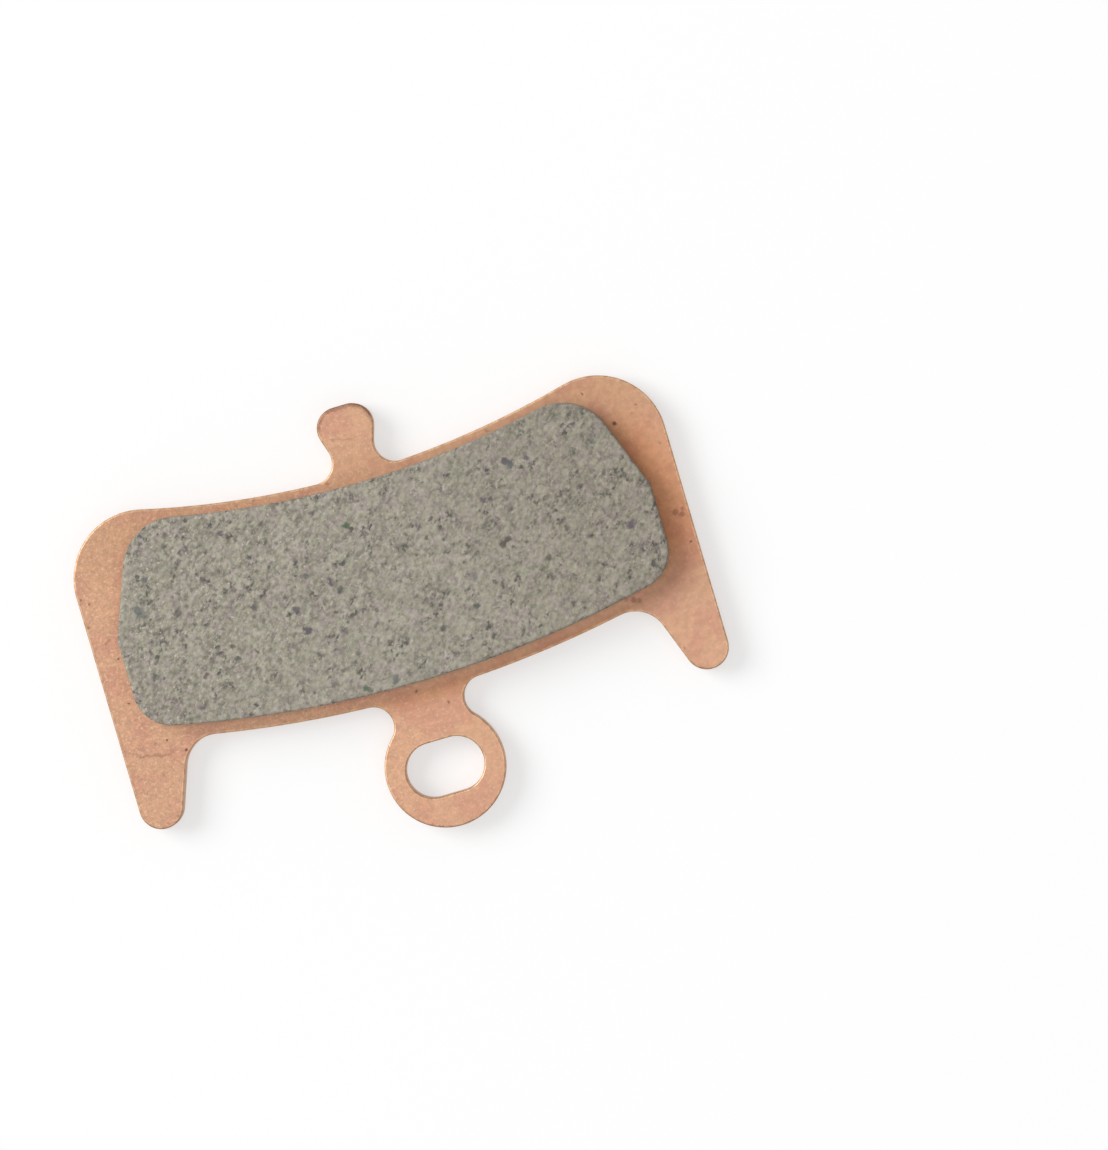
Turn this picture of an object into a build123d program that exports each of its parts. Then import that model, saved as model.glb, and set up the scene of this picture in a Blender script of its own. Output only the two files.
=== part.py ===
from build123d import *
import os
from math import sqrt

# Bicycle disc brake pad: a blanked steel backing plate that carries one pressed friction block.
# The long edges are arcs about the rotor's axis. The origin is the centre of the pin slot on the
# back face, +X runs along the pad, +Y points to the rotor's axis and +Z out of the friction face.

# Driving dimensions, in millimetres and degrees

# Friction block, a short sector of the band that the rotor sweeps
block_outer_radius = 79.82
block_depth = 14.7  # across the band, from the outer arc to the inner arc
block_width = 39.2
block_thickness = 2.0
shoulder_rise = 8.8  # from the middle of the outer arc up to where the ends turn inward
end_lean = 20.8  # of the upper ends, from the vertical
upper_corner_radius = 3.74
shoulder_radius = 1.0
lower_corner_radius = 2.73
block_bevel = 0.2

# Plugs of the same compound, pressed into the plate's keying holes
plug_diameter = 3.9
plug_inset = 3.7  # from the block's arcs to the plugs' centres
plug_spread = 28.2  # between the two plugs along the inner arc
plug_recess = 0.65  # from the back face up to the plugs' ends

# Backing plate
plate_width = 43.44
plate_thickness = 2.0
outer_margin = 0.91  # plate showing beyond the block's outer arc
inner_margin = 0.64  # plate showing inside the block's inner arc
corner_radius = 4.93
die_roll_radius = 0.35  # rounding that blanking leaves round the back
rim_bevel = 0.22  # round the pierced holes at the back
front_bevel = 0.12  # round the front, where the burr is taken off

# Legs at the two ends, which bear on the caliper
leg_tip_rise = 1.36  # from the slot's centre up to the leg tips
leg_tip_radius = 1.57
leg_lean = 20.0  # of a leg's inner flank, from the vertical
leg_root_radius = 2.4

# Tab on the inner edge
tab_rise = 4.96  # from the middle of the inner edge to the tab's top
tab_width = 4.04
tab_corner_radius = 1.52
tab_flank_lean = 17.3
tab_root_radius = 1.49

# Eye for the retaining pin
pin_drop = 5.43  # from the middle of the outer edge to the slot's centre
eye_radius = 4.3
eye_neck_width = 5.26
slot_length = 5.63
slot_width = 3.91

# Places worked out from the dimensions
block_inner_radius = block_outer_radius - block_depth
plate_outer_radius = block_outer_radius + outer_margin
plate_inner_radius = block_inner_radius - inner_margin
rotor_axis_y = plate_outer_radius + pin_drop
rotor_axis = (0, rotor_axis_y)
plate_half = plate_width / 2
block_half = block_width / 2
plug_half = plug_spread / 2


def height_on_arc(radius, x):
    """Height of the arc of this radius about the rotor's axis, at a distance x along the pad."""
    return rotor_axis_y - sqrt(radius**2 - x**2)


def round_corner(sketch, point, radius):
    """Round the sketch's corner that lies at this point."""
    fillet(sketch.vertices().sort_by_distance(point)[0], radius)


def quarter_arc(radius):
    """Lower right quarter of the circle of this radius about the rotor's axis, to draw up to."""
    return CenterArc(rotor_axis, radius, 270, 90, mode=Mode.PRIVATE)


# Outline of the plate: its right half, from the tab's top round to the eye, and the mirror image
tab_top_y = height_on_arc(plate_inner_radius, 0) + tab_rise
leg_tip_center_y = leg_tip_rise + leg_tip_radius
top_corner = (plate_half, height_on_arc(plate_inner_radius, plate_half))
eye_bottom = (0, -eye_radius)

with BuildSketch() as plate_outline:
    with BuildLine():
        crown = Line((0, tab_top_y), (tab_width / 2 - tab_corner_radius, tab_top_y))
        tab_corner = JernArc(crown @ 1, crown % 1, tab_corner_radius, -90 - tab_flank_lean)
        tab_flank = IntersectingLine(tab_corner @ 1, tab_corner % 1, quarter_arc(plate_inner_radius))
        RadiusArc(tab_flank @ 1, top_corner, -plate_inner_radius)
        side = Line(top_corner, (plate_half, leg_tip_center_y))
        leg_tip = JernArc(side @ 1, side % 1, leg_tip_radius, leg_lean - 180)
        leg_flank = IntersectingLine(leg_tip @ 1, leg_tip % 1, quarter_arc(plate_outer_radius))
        # Each side of the neck is one arc, tangent to the eye, the plate's edge and the waist line
        eye_rim = CenterArc((0, 0), eye_radius, 0, 90, mode=Mode.PRIVATE)
        waist = Axis((eye_neck_width / 2, 0), (0, 1))
        neck = ConstrainedArcs(
            eye_rim,
            quarter_arc(plate_outer_radius),
            waist,
            selector=lambda arcs: arcs.sort_by(lambda arc: arc.arc_center.X)[-1],
        )
        neck_top = neck.vertices().sort_by(Axis.Y)[-1]
        neck_bottom = neck.vertices().sort_by(Axis.Y)[0]
        RadiusArc(leg_flank @ 1, neck_top, plate_outer_radius)
        RadiusArc(neck_bottom, eye_bottom, eye_radius)
        Line(eye_bottom, crown @ 0)
    make_face()
    round_corner(plate_outline, tab_flank @ 1, tab_root_radius)
    round_corner(plate_outline, top_corner, corner_radius)
    round_corner(plate_outline, leg_flank @ 1, leg_root_radius)
    mirror(about=Plane.YZ)

# Places of the keying holes: one at the middle of the outer arc and two along the inner arc
lower_plug = (0, height_on_arc(block_outer_radius - plug_inset, 0))
upper_plug_y = height_on_arc(block_inner_radius + plug_inset, plug_half)
plug_places = [lower_plug, (-plug_half, upper_plug_y), (plug_half, upper_plug_y)]

# Backing plate: the outline extruded, with the pin slot and the keying holes pierced through it
with BuildPart() as backing_plate:
    add(plate_outline.sketch)
    extrude(amount=plate_thickness)
    with BuildSketch():
        SlotOverall(slot_length, slot_width)
    extrude(amount=plate_thickness, mode=Mode.SUBTRACT)
    with BuildSketch():
        with Locations(*plug_places):
            Circle(plug_diameter / 2)
    extrude(amount=plate_thickness, mode=Mode.SUBTRACT)
    fillet(backing_plate.faces().sort_by(Axis.Z)[0].outer_wire().edges(), die_roll_radius)
    chamfer(backing_plate.faces().sort_by(Axis.Z)[0].inner_wires().edges(), rim_bevel)
    front_face = backing_plate.faces().sort_by(Axis.Z)[-1]
    slot_rim = front_face.inner_wires().sort_by_distance((0, 0, plate_thickness))[0]
    chamfer(front_face.outer_wire().edges() + slot_rim.edges(), front_bevel)
backing_plate.part.label = "backing_plate"

# Outline of the friction block: its right half, with ends that turn inward above the shoulder
shoulder = (block_half, height_on_arc(block_outer_radius, 0) + shoulder_rise)
lower_corner = (block_half, height_on_arc(block_outer_radius, block_half))
block_top = (0, height_on_arc(block_inner_radius, 0))
block_bottom = (0, height_on_arc(block_outer_radius, 0))

with BuildSketch(Plane.XY.offset(plate_thickness)) as block_outline:
    with BuildLine():
        end_direction = Vector(0, 1).rotate(Axis.Z, end_lean)
        end = IntersectingLine(shoulder, end_direction, quarter_arc(block_inner_radius))
        RadiusArc(block_top, end @ 1, -block_inner_radius)
        Line(shoulder, lower_corner)
        RadiusArc(lower_corner, block_bottom, block_outer_radius)
        Line(block_bottom, block_top)
    make_face()
    round_corner(block_outline, end @ 1, upper_corner_radius)
    round_corner(block_outline, shoulder, shoulder_radius)
    round_corner(block_outline, lower_corner, lower_corner_radius)
    mirror(about=Plane.YZ)

# Friction block: the wearing layer on the plate's front, and its plugs in the keying holes
with BuildPart() as friction_block:
    add(block_outline.sketch)
    extrude(amount=block_thickness)
    chamfer(friction_block.faces().sort_by(Axis.Z)[-1].edges(), block_bevel)
    with BuildSketch(Plane.XY.offset(plate_thickness)):
        with Locations(*plug_places):
            Circle(plug_diameter / 2)
    extrude(amount=plug_recess - plate_thickness)
friction_block.part.label = "friction_block"

os.makedirs("parts", exist_ok=True)
export_step(backing_plate.part, "parts/backing_plate.step")
export_step(friction_block.part, "parts/friction_block.step")
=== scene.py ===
import math
import bmesh
import bpy
from mathutils import Matrix, Vector


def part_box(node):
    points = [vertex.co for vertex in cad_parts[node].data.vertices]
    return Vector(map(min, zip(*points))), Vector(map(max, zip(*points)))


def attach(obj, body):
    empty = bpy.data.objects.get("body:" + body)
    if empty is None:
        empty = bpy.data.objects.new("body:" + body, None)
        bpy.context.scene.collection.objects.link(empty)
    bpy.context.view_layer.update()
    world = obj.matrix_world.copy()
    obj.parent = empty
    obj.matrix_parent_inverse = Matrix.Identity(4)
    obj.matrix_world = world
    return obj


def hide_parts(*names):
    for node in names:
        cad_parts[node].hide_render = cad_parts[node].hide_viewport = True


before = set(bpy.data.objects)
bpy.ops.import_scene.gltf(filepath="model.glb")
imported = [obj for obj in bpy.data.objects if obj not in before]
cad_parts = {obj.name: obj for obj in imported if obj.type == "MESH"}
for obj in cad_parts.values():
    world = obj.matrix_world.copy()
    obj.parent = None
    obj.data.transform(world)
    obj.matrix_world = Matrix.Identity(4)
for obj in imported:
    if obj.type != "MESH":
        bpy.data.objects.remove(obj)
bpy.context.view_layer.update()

mm = 0.001  # sizes below are in millimetres, Blender works in metres
print("frame loaded:", ", ".join(sorted(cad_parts)))


# small helpers for node trees

def addNode(tree, kind, inputs=None, **settings):
    node = tree.nodes.new(kind)
    for name, value in settings.items():
        setattr(node, name, value)
    for key, value in (inputs or {}).items():
        if isinstance(value, bpy.types.NodeSocket):
            tree.links.new(value, node.inputs[key])
        else:
            node.inputs[key].default_value = value
    return node


def mathNode(tree, operation, first, second=0.0, clamp=False):
    inputs = {0: first, 1: second}
    return addNode(tree, "ShaderNodeMath", inputs, operation=operation, use_clamp=clamp).outputs[0]


def times(tree, *factors):
    product = factors[0]
    for factor in factors[1:]:
        product = mathNode(tree, "MULTIPLY", product, factor)
    return product


def highest(tree, *values):
    top = values[0]
    for value in values[1:]:
        top = mathNode(tree, "MAXIMUM", top, value)
    return top


def spread(tree, value, low, high, toLow=0.0, toHigh=1.0):  # smooth step between two levels
    inputs = {"Value": value, 1: low, 2: high, 3: toLow, 4: toHigh}
    return addNode(tree, "ShaderNodeMapRange", inputs, interpolation_type="SMOOTHSTEP").outputs[0]


def fade(tree, length, low, high, toLow=0.0, toHigh=1.0):  # the same between two lengths in mm
    return spread(tree, length, low * mm, high * mm, toLow, toHigh)


def mixColour(tree, factor, first, second, blend="MIX"):
    inputs = {0: factor, 6: first, 7: second}
    return addNode(tree, "ShaderNodeMix", inputs, data_type="RGBA", blend_type=blend).outputs[2]


def colourRamp(tree, factor, stops, interpolation="LINEAR"):
    ramp = addNode(tree, "ShaderNodeValToRGB", {0: factor})
    elements = ramp.color_ramp.elements
    ramp.color_ramp.interpolation = interpolation
    elements.remove(elements[1])
    elements[0].position, elements[0].color = stops[0]
    for position, colour in stops[1:]:
        elements.new(position).color = colour
    return ramp.outputs[0]


def vectorNode(tree, operation, first, second):
    return addNode(tree, "ShaderNodeVectorMath", {0: first, 1: second}, operation=operation).outputs


def shifted(tree, vector, seed):  # the same noise taken elsewhere
    return vectorNode(tree, "ADD", vector, seed)[0]


def flattened(tree, vector):
    return vectorNode(tree, "MULTIPLY", vector, (1, 1, 0))[0]


def stretched(tree, vector, turn, along, across):  # turn a pattern in the pad's plane and squeeze it
    turned = addNode(tree, "ShaderNodeVectorRotate", {"Vector": vector, "Angle": math.radians(-turn)},
                     rotation_type="Z_AXIS").outputs[0]
    return vectorNode(tree, "MULTIPLY", turned, (1 / along, 1 / across, 1.0))[0]


def ragged(tree, vector, shifts):  # push a pattern about by noise, so that round specks come out uneven
    for amount, size in shifts:
        inputs = {"Vector": vector, "Scale": 1 / (size * mm), "Detail": 2.0}
        noise = addNode(tree, "ShaderNodeTexNoise", inputs).outputs["Color"]
        noise = vectorNode(tree, "SUBTRACT", noise, (0.5, 0.5, 0.5))[0]
        inputs = {0: noise, 1: (2 * amount * mm,) * 3, 2: vector}
        vector = addNode(tree, "ShaderNodeVectorMath", inputs, operation="MULTIPLY_ADD").outputs[0]
    return vector


def noiseNode(tree, vector, size, detail=2.0, roughness=0.5):  # size in mm
    inputs = {"Vector": vector, "Scale": 1 / (size * mm), "Detail": detail, "Roughness": roughness}
    return addNode(tree, "ShaderNodeTexNoise", inputs).outputs[0]


def blotches(tree, vector, size, low, high, detail=3.0, roughness=0.6,
             weakest=0.0, strongest=1.0, seed=None):  # noise cut off between two levels
    if seed:
        vector = shifted(tree, vector, seed)
    return spread(tree, noiseNode(tree, vector, size, detail, roughness), low, high, weakest, strongest)


def speckField(tree, vector, cellSize, share, smallest, largest, faintest, core=0.3):  # no two specks alike
    cells = addNode(tree, "ShaderNodeTexVoronoi", {"Vector": vector, "Scale": 1 / (cellSize * mm)}).outputs
    dice = addNode(tree, "ShaderNodeSeparateColor", {0: cells["Color"]}).outputs
    present = mathNode(tree, "LESS_THAN", dice[0], share)
    radius = spread(tree, dice[1], 0.0, 1.0, smallest / cellSize, largest / cellSize)
    spot = spread(tree, cells["Distance"], radius, times(tree, radius, core))
    strength = times(tree, present, spread(tree, dice[2], 0.0, 1.0, faintest, 1.0))
    return times(tree, spot, strength), dice[2]


def gapTo(tree, flat, x, y):  # distance from a place given in mm
    return vectorNode(tree, "DISTANCE", flat, (x * mm, y * mm, 0))["Value"]


def gapToLine(tree, flat, start, end):  # distance from a short line between two places given in mm
    first = Vector((*start, 0)) * mm
    run = Vector((*end, 0)) * mm - first
    away = vectorNode(tree, "SUBTRACT", flat, first)[0]
    along = vectorNode(tree, "DOT_PRODUCT", away, run)["Value"]
    share = mathNode(tree, "DIVIDE", along, run.length_squared, clamp=True)
    nearest = addNode(tree, "ShaderNodeVectorMath", {0: run, "Scale": share}, operation="SCALE").outputs[0]
    return vectorNode(tree, "DISTANCE", away, nearest)["Value"]


def markAt(tree, flat, x, y, size, strength, core=0.4):  # one spot, full over its core
    return fade(tree, gapTo(tree, flat, x, y), size, size * core, 0.0, strength)


def rgb(red, green, blue):  # screen colour, 0 to 255, to the linear values that nodes take
    def linear(level):
        level = level / 255
        return level / 12.92 if level <= 0.04045 else ((level + 0.055) / 1.055) ** 2.4
    return (linear(red), linear(green), linear(blue), 1.0)


def between(first, second, share):  # a colour part of the way from one to another
    return tuple(a + (b - a) * share for a, b in zip(first, second))


def newMaterial(name):
    material = bpy.data.materials.new(name)
    material.use_nodes = True
    tree = material.node_tree
    tree.nodes.clear()
    shader = addNode(tree, "ShaderNodeBsdfPrincipled")
    output = addNode(tree, "ShaderNodeOutputMaterial")
    tree.links.new(shader.outputs[0], output.inputs["Surface"])
    return material, tree, shader


def objectPlace(tree):
    place = addNode(tree, "ShaderNodeTexCoord").outputs["Object"]
    return place, addNode(tree, "ShaderNodeSeparateXYZ", {0: place}).outputs


def attribute(tree, name):  # a value stored in the mesh
    return addNode(tree, "ShaderNodeAttribute", attribute_name=name).outputs["Fac"]


def addBump(tree, shader, height, c):
    inputs = {"Height": height, "Strength": c["bumpStrength"], "Distance": c["bumpDepth"] * mm}
    bump = addNode(tree, "ShaderNodeBump", inputs)
    tree.links.new(bump.outputs[0], shader.inputs["Normal"])


def heading(angle):  # flat direction, degrees
    return Vector((math.cos(math.radians(angle)), math.sin(math.radians(angle))))


# camera, floor and light

camera = {
    "sensor": 36,  # mm
    "pictureHeight": 1150,  # pixels
    "focalLength": 6000,  # pixels
    "distance": 426.68,  # mm, from the lens to the pin slot
    "slotAcross": -7.65,  # mm, the pin slot from the middle of the picture
    "slotUp": -13.55,
    "roll": 16.40,  # degrees, turn of the pad in the picture
    "tilt": 1.27,
    "swing": -1.47,
}


def makeCamera(c):
    data = bpy.data.cameras.new("camera")
    data.sensor_width = c["sensor"]
    data.lens = c["focalLength"] * c["sensor"] / c["pictureHeight"]
    eye = bpy.data.objects.new("camera", data)
    bpy.context.scene.collection.objects.link(eye)
    turn = Matrix.Rotation(math.radians(c["tilt"]), 4, "X")
    turn = turn @ Matrix.Rotation(math.radians(c["swing"]), 4, "Y")
    turn = turn @ Matrix.Rotation(math.radians(c["roll"]), 4, "Z")
    slotPlace = Vector((c["slotAcross"], c["slotUp"], -c["distance"])) * mm
    eye.matrix_world = (Matrix.Translation(slotPlace) @ turn).inverted()
    bpy.context.scene.camera = eye


studio = {
    "floorSize": 3000,  # mm
    "floorColour": (0.45, 0.45, 0.45, 1.0),
    "floorRoughness": 0.9,
    "floorLift": 0.56,  # glow seen by the camera and in reflections, which brings the floor to white
    "worldLevel": 0.37,
    "lamps": (  # name, size and distance in mm, watts, bearing in the picture and height in degrees
        ("key", 1200, 2000, 28.0, 160, 42),
        ("top", 900, 1000, 2.0, -50, 79),
    ),
}


def softBox(name, size, distance, power, turn, height):  # a square lamp that faces the pad
    data = bpy.data.lights.new(name, "AREA")
    data.size = size * mm
    data.energy = power
    lamp = bpy.data.objects.new(name, data)
    bpy.context.scene.collection.objects.link(lamp)
    level = math.cos(math.radians(height))
    outward = Vector((*(heading(turn) * level), math.sin(math.radians(height))))
    lamp.location = outward * distance * mm
    lamp.rotation_euler = outward.to_track_quat("Z", "Y").to_euler()


def makeFloor(s):
    half = s["floorSize"] * mm / 2
    mesh = bpy.data.meshes.new("floor")
    corners = [(-half, -half, 0), (half, -half, 0), (half, half, 0), (-half, half, 0)]
    mesh.from_pydata(corners, [], [(0, 1, 2, 3)])
    floor = bpy.data.objects.new("floor", mesh)
    bpy.context.scene.collection.objects.link(floor)
    material, tree, shader = newMaterial("paleFloor")
    shader.inputs["Base Color"].default_value = s["floorColour"]
    shader.inputs["Roughness"].default_value = s["floorRoughness"]
    shader.inputs["Emission Color"].default_value = (1, 1, 1, 1)
    rays = addNode(tree, "ShaderNodeLightPath").outputs
    seen = highest(tree, rays["Is Camera Ray"], rays["Is Glossy Ray"], rays["Is Transmission Ray"])
    tree.links.new(times(tree, seen, s["floorLift"]), shader.inputs["Emission Strength"])
    mesh.materials.append(material)


def makeStudio(s, roll):
    bpy.context.scene.view_settings.view_transform = "Standard"
    makeFloor(s)
    world = bpy.data.worlds.new("studio")
    world.use_nodes = True
    sky = world.node_tree.nodes["Background"]
    sky.inputs["Color"].default_value = (1, 1, 1, 1)
    sky.inputs["Strength"].default_value = s["worldLevel"]
    bpy.context.scene.world = world
    for name, size, distance, power, turn, height in s["lamps"]:
        softBox(name, size, distance, power, turn - roll, height)


makeCamera(camera)
makeStudio(studio, camera["roll"])
print("camera, floor and light set")


# flat outlines, in mm

def bearing(origin, target):  # degrees, 0 to 360
    step = target - origin
    return math.degrees(math.atan2(step.y, step.x)) % 360


def arcPoints(centre, radius, startAngle, endAngle, step=0.14, turnStep=4.0):
    sweep = endAngle - startAngle
    count = max(math.ceil(abs(math.radians(sweep)) * radius / step), math.ceil(abs(sweep) / turnStep))
    return [centre + radius * heading(startAngle + sweep * k / count) for k in range(count + 1)]


def slideToRing(start, direction, centre, radius):  # along a line to where it first meets a circle
    away = start - centre
    half = away.dot(direction)
    root = math.sqrt(half * half - away.length_squared + radius * radius)
    return start + direction * (-half - root if -half - root > 0 else -half + root)


def circleHeight(radius, x):
    return math.sqrt(max(radius * radius - x * x, 0.0))


def closedLoop(points, nearest=1e-4):  # drop the doubles where arcs meet
    return [p for k, p in enumerate(points) if (p - points[k - 1]).length > nearest]


def inward(loop):  # unit normals to the left of the run, so into the metal
    normals = []
    for k in range(len(loop)):
        run = (loop[(k + 1) % len(loop)] - loop[k]).normalized() + (loop[k] - loop[k - 1]).normalized()
        run.normalize()
        normals.append(Vector((-run.y, run.x)))
    return normals


def quarterRound(radius, steps):  # (inset, drop) from a face over to the wall
    angles = [math.pi / 2 * k / steps for k in range(steps + 1)]
    return [(radius * (1 - math.sin(angle)), radius * (1 - math.cos(angle))) for angle in angles]


def ringEdges(bm, ring):
    return [bm.edges.get((ring[k - 1], ring[k])) for k in range(len(ring))]


def pieceFrom(bm, name):  # faces outwards, shaded smooth
    bmesh.ops.recalc_face_normals(bm, faces=bm.faces)
    for face in bm.faces:
        face.smooth = True
    mesh = bpy.data.meshes.new(name)
    bm.to_mesh(mesh)
    bm.free()
    piece = bpy.data.objects.new(name, mesh)
    bpy.context.scene.collection.objects.link(piece)
    return piece


# backing plate: blanked steel, copper-plated

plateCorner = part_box("backing_plate")[1]
plate = {
    "half": plateCorner.x / mm,
    "tabTop": plateCorner.y / mm,
    "thickness": plateCorner.z / mm,
    "outerArc": 80.73,  # about the rotor's axis
    "innerArc": 64.48,
    "pinDrop": 5.43,  # from the outer edge to the slot's centre
    "cornerRadius": 4.93,
    "legTipRise": 1.36,
    "legTipRadius": 1.57,
    "legLean": 20.0,
    "legRootRadius": 2.4,
    "tabWidth": 4.04,
    "tabCornerRadius": 1.52,
    "tabLean": 17.3,
    "tabRootRadius": 1.49,
    "eyeRadius": 4.3,
    "neckWidth": 5.26,
    "slotLength": 5.63,
    "slotWidth": 3.91,
    "holeRadius": 1.95,
    "holeInset": 3.7,  # from the block's arcs to the holes' centres
    "holeSpread": 28.2,
    "dieRoll": 0.35,  # rounding round the back
    "holeRoll": 0.22,
    "frontRound": 0.12,
    "roundSteps": 6,
    "flatRing": 0.05,  # keeps the shading of the faces flat up to their edge
}
rotorAxis = Vector((0, plate["outerArc"] + plate["pinDrop"]))


def legTip(p):
    return Vector((p["half"] - p["legTipRadius"], p["legTipRise"] + p["legTipRadius"]))


def plateOutline(p):
    slotCentre = Vector((0, 0))
    tabCentre = Vector((p["tabWidth"] / 2 - p["tabCornerRadius"], p["tabTop"] - p["tabCornerRadius"]))
    flankOut = heading(-p["tabLean"])
    flankDown = Vector((flankOut.y, -flankOut.x))
    tabRootStart = tabCentre + flankOut * (p["tabCornerRadius"] + p["tabRootRadius"])
    tabRoot = slideToRing(tabRootStart, flankDown, rotorAxis, p["innerArc"] - p["tabRootRadius"])

    cornerX = p["half"] - p["cornerRadius"]
    corner = Vector((cornerX, rotorAxis.y - circleHeight(p["innerArc"] + p["cornerRadius"], cornerX)))

    tip = legTip(p)
    legOut = heading(p["legLean"] - 180)
    legUp = Vector((legOut.y, -legOut.x))
    legRootStart = tip + legOut * (p["legTipRadius"] + p["legRootRadius"])
    legRoot = slideToRing(legRootStart, legUp, rotorAxis, p["outerArc"] + p["legRootRadius"])

    # neck arc that touches the eye, the plate's edge and the waist line
    waist, eye, reach = p["neckWidth"] / 2, p["eyeRadius"], rotorAxis.y
    lead = (reach ** 2 - p["outerArc"] ** 2 + eye ** 2) / (2 * reach)
    slope = (p["outerArc"] - eye) / reach
    middle = lead * slope + eye - waist
    root = math.sqrt(middle ** 2 - slope ** 2 * (lead ** 2 - eye ** 2 + waist ** 2))
    neckRadius = (middle - root) / slope ** 2
    neck = Vector((waist + neckRadius, lead - slope * neckRadius))

    right = arcPoints(tabCentre, p["tabCornerRadius"], 90, -p["tabLean"])
    right += arcPoints(tabRoot, p["tabRootRadius"], 180 - p["tabLean"], bearing(rotorAxis, tabRoot))
    right += arcPoints(rotorAxis, p["innerArc"], bearing(rotorAxis, tabRoot), bearing(rotorAxis, corner))
    right += arcPoints(corner, p["cornerRadius"], bearing(corner, rotorAxis), 0)
    right += arcPoints(tip, p["legTipRadius"], 0, p["legLean"] - 180)
    right += arcPoints(legRoot, p["legRootRadius"], p["legLean"], bearing(legRoot, rotorAxis))
    right += arcPoints(rotorAxis, p["outerArc"], bearing(rotorAxis, legRoot), bearing(rotorAxis, neck))
    right += arcPoints(neck, neckRadius, bearing(neck, rotorAxis), bearing(neck, slotCentre))
    right += arcPoints(slotCentre, eye, bearing(slotCentre, neck), -90)
    left = [Vector((-q.x, q.y)) for q in reversed(right)]
    return closedLoop(list(reversed(right + left)))  # anticlockwise


def slotOutline(p):
    radius = p["slotWidth"] / 2
    run = p["slotLength"] / 2 - radius
    points = arcPoints(Vector((-run, 0)), radius, 270, 90)
    points += arcPoints(Vector((run, 0)), radius, 90, -90)
    return closedLoop(points)  # clockwise, metal on its left


def holePlaces(p, innerArc, outerArc):
    aside = p["holeSpread"] / 2
    upper = rotorAxis.y - circleHeight(innerArc + p["holeInset"], aside)
    lower = rotorAxis.y - (outerArc - p["holeInset"])
    return [Vector((0, lower)), Vector((-aside, upper)), Vector((aside, upper))]


def edgeProfile(p, backRound):  # (inset, height, rim) from the front face to the back
    profile = [(p["frontRound"] + p["flatRing"], p["thickness"], 0.0)]
    for inset, drop in quarterRound(p["frontRound"], p["roundSteps"]):
        profile.append((inset, p["thickness"] - drop, 1.0))
    for inset, drop in reversed(quarterRound(backRound, p["roundSteps"])):
        profile.append((inset, drop, 1.0))
    profile.append((backRound + p["flatRing"], 0.0, 0.0))
    return profile


def sweepEdge(bm, loop, profile, rimLayer, wallMap):
    normals = inward(loop)
    rings = []
    for inset, height, rim in profile:
        ring = []
        for point, normal in zip(loop, normals):
            place = point + normal * inset
            vertex = bm.verts.new((place.x * mm, place.y * mm, height * mm))
            vertex[rimLayer] = rim
            ring.append(vertex)
        rings.append(ring)
    lengths = [0.0]
    for k in range(1, len(loop) + 1):
        lengths.append(lengths[-1] + (loop[k % len(loop)] - loop[k - 1]).length)
    for upper, lower in zip(rings, rings[1:]):
        for k in range(len(loop)):
            nextK = (k + 1) % len(loop)
            face = bm.faces.new((upper[k], lower[k], lower[nextK], upper[nextK]))
            for corner, along in zip(face.loops, (k, k, k + 1, k + 1)):
                corner[wallMap].uv = (lengths[along] * mm, corner.vert.co.z)
    return rings[0], rings[-1]


def makePlate(p, holes, material):
    bm = bmesh.new()
    rimLayer = bm.verts.layers.float.new("rim")  # 1 on the rounded edges and the wall
    wallMap = bm.loops.layers.uv.new("wallMap")  # along the wall and up it
    holeProfile = edgeProfile(p, p["holeRoll"])
    loops = [(plateOutline(p), edgeProfile(p, p["dieRoll"])), (slotOutline(p), holeProfile)]
    for hole in holes:
        loops.append((closedLoop(arcPoints(hole, p["holeRadius"], 360, 0)), holeProfile))
    front, back = [], []
    for loop, profile in loops:
        top, bottom = sweepEdge(bm, loop, profile, rimLayer, wallMap)
        front += ringEdges(bm, top)
        back += ringEdges(bm, bottom)
    bmesh.ops.triangle_fill(bm, edges=front, use_beauty=True)
    bmesh.ops.triangle_fill(bm, edges=back, use_beauty=True)
    piece = pieceFrom(bm, "backingPlate")
    piece.data.materials.append(material)
    return piece


# friction block: pressed and sintered compound, with plugs in the plate's holes

blockFoot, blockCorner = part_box("friction_block")
block = {
    "half": blockCorner.x / mm,
    "top": blockCorner.z / mm,
    "bond": plate["thickness"],
    "plugEnd": blockFoot.z / mm,
    "innerArc": 65.12,  # about the rotor's axis
    "outerArc": 79.82,
    "shoulderRise": 8.8,  # from the outer arc's middle to where the ends turn inward
    "endLean": 20.8,
    "upperCorner": 3.74,
    "shoulderRadius": 1.0,
    "lowerCorner": 2.73,
    "edgeRound": 0.2,
    "edgeSteps": 3,
    "step": 0.115,  # mesh spacing
    "finest": 0.1,  # share of the step, where an end runs steeply
    "shrink": 0.8,  # from one try at a closer spacing to the next
    "calm": 0.3,  # height above the bond over which the grain sets in
    "plugSectors": 72,
    "plugRings": 14,
    "plugLifts": (0.25, 0.09),  # of the plug's end at its rim and one ring further in
    "grainTurn": 44,  # degrees, the way the grains are drawn out
}


def blockShape(b):  # centres of the end's arcs
    ends = heading(b["endLean"])
    climb = Vector((-ends.y, ends.x))
    shoulder = Vector((b["half"], rotorAxis.y - b["outerArc"] + b["shoulderRise"]))
    cornerStart = shoulder - ends * b["upperCorner"]
    upper = slideToRing(cornerStart, climb, rotorAxis, b["innerArc"] + b["upperCorner"])
    side = Vector((1, 0))
    turn = shoulder - (side + ends) * b["shoulderRadius"] / (1 + side.dot(ends))
    lowerX = b["half"] - b["lowerCorner"]
    lower = Vector((lowerX, rotorAxis.y - circleHeight(b["outerArc"] - b["lowerCorner"], lowerX)))
    return {"ends": ends, "upper": upper, "turn": turn, "lower": lower}


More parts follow.
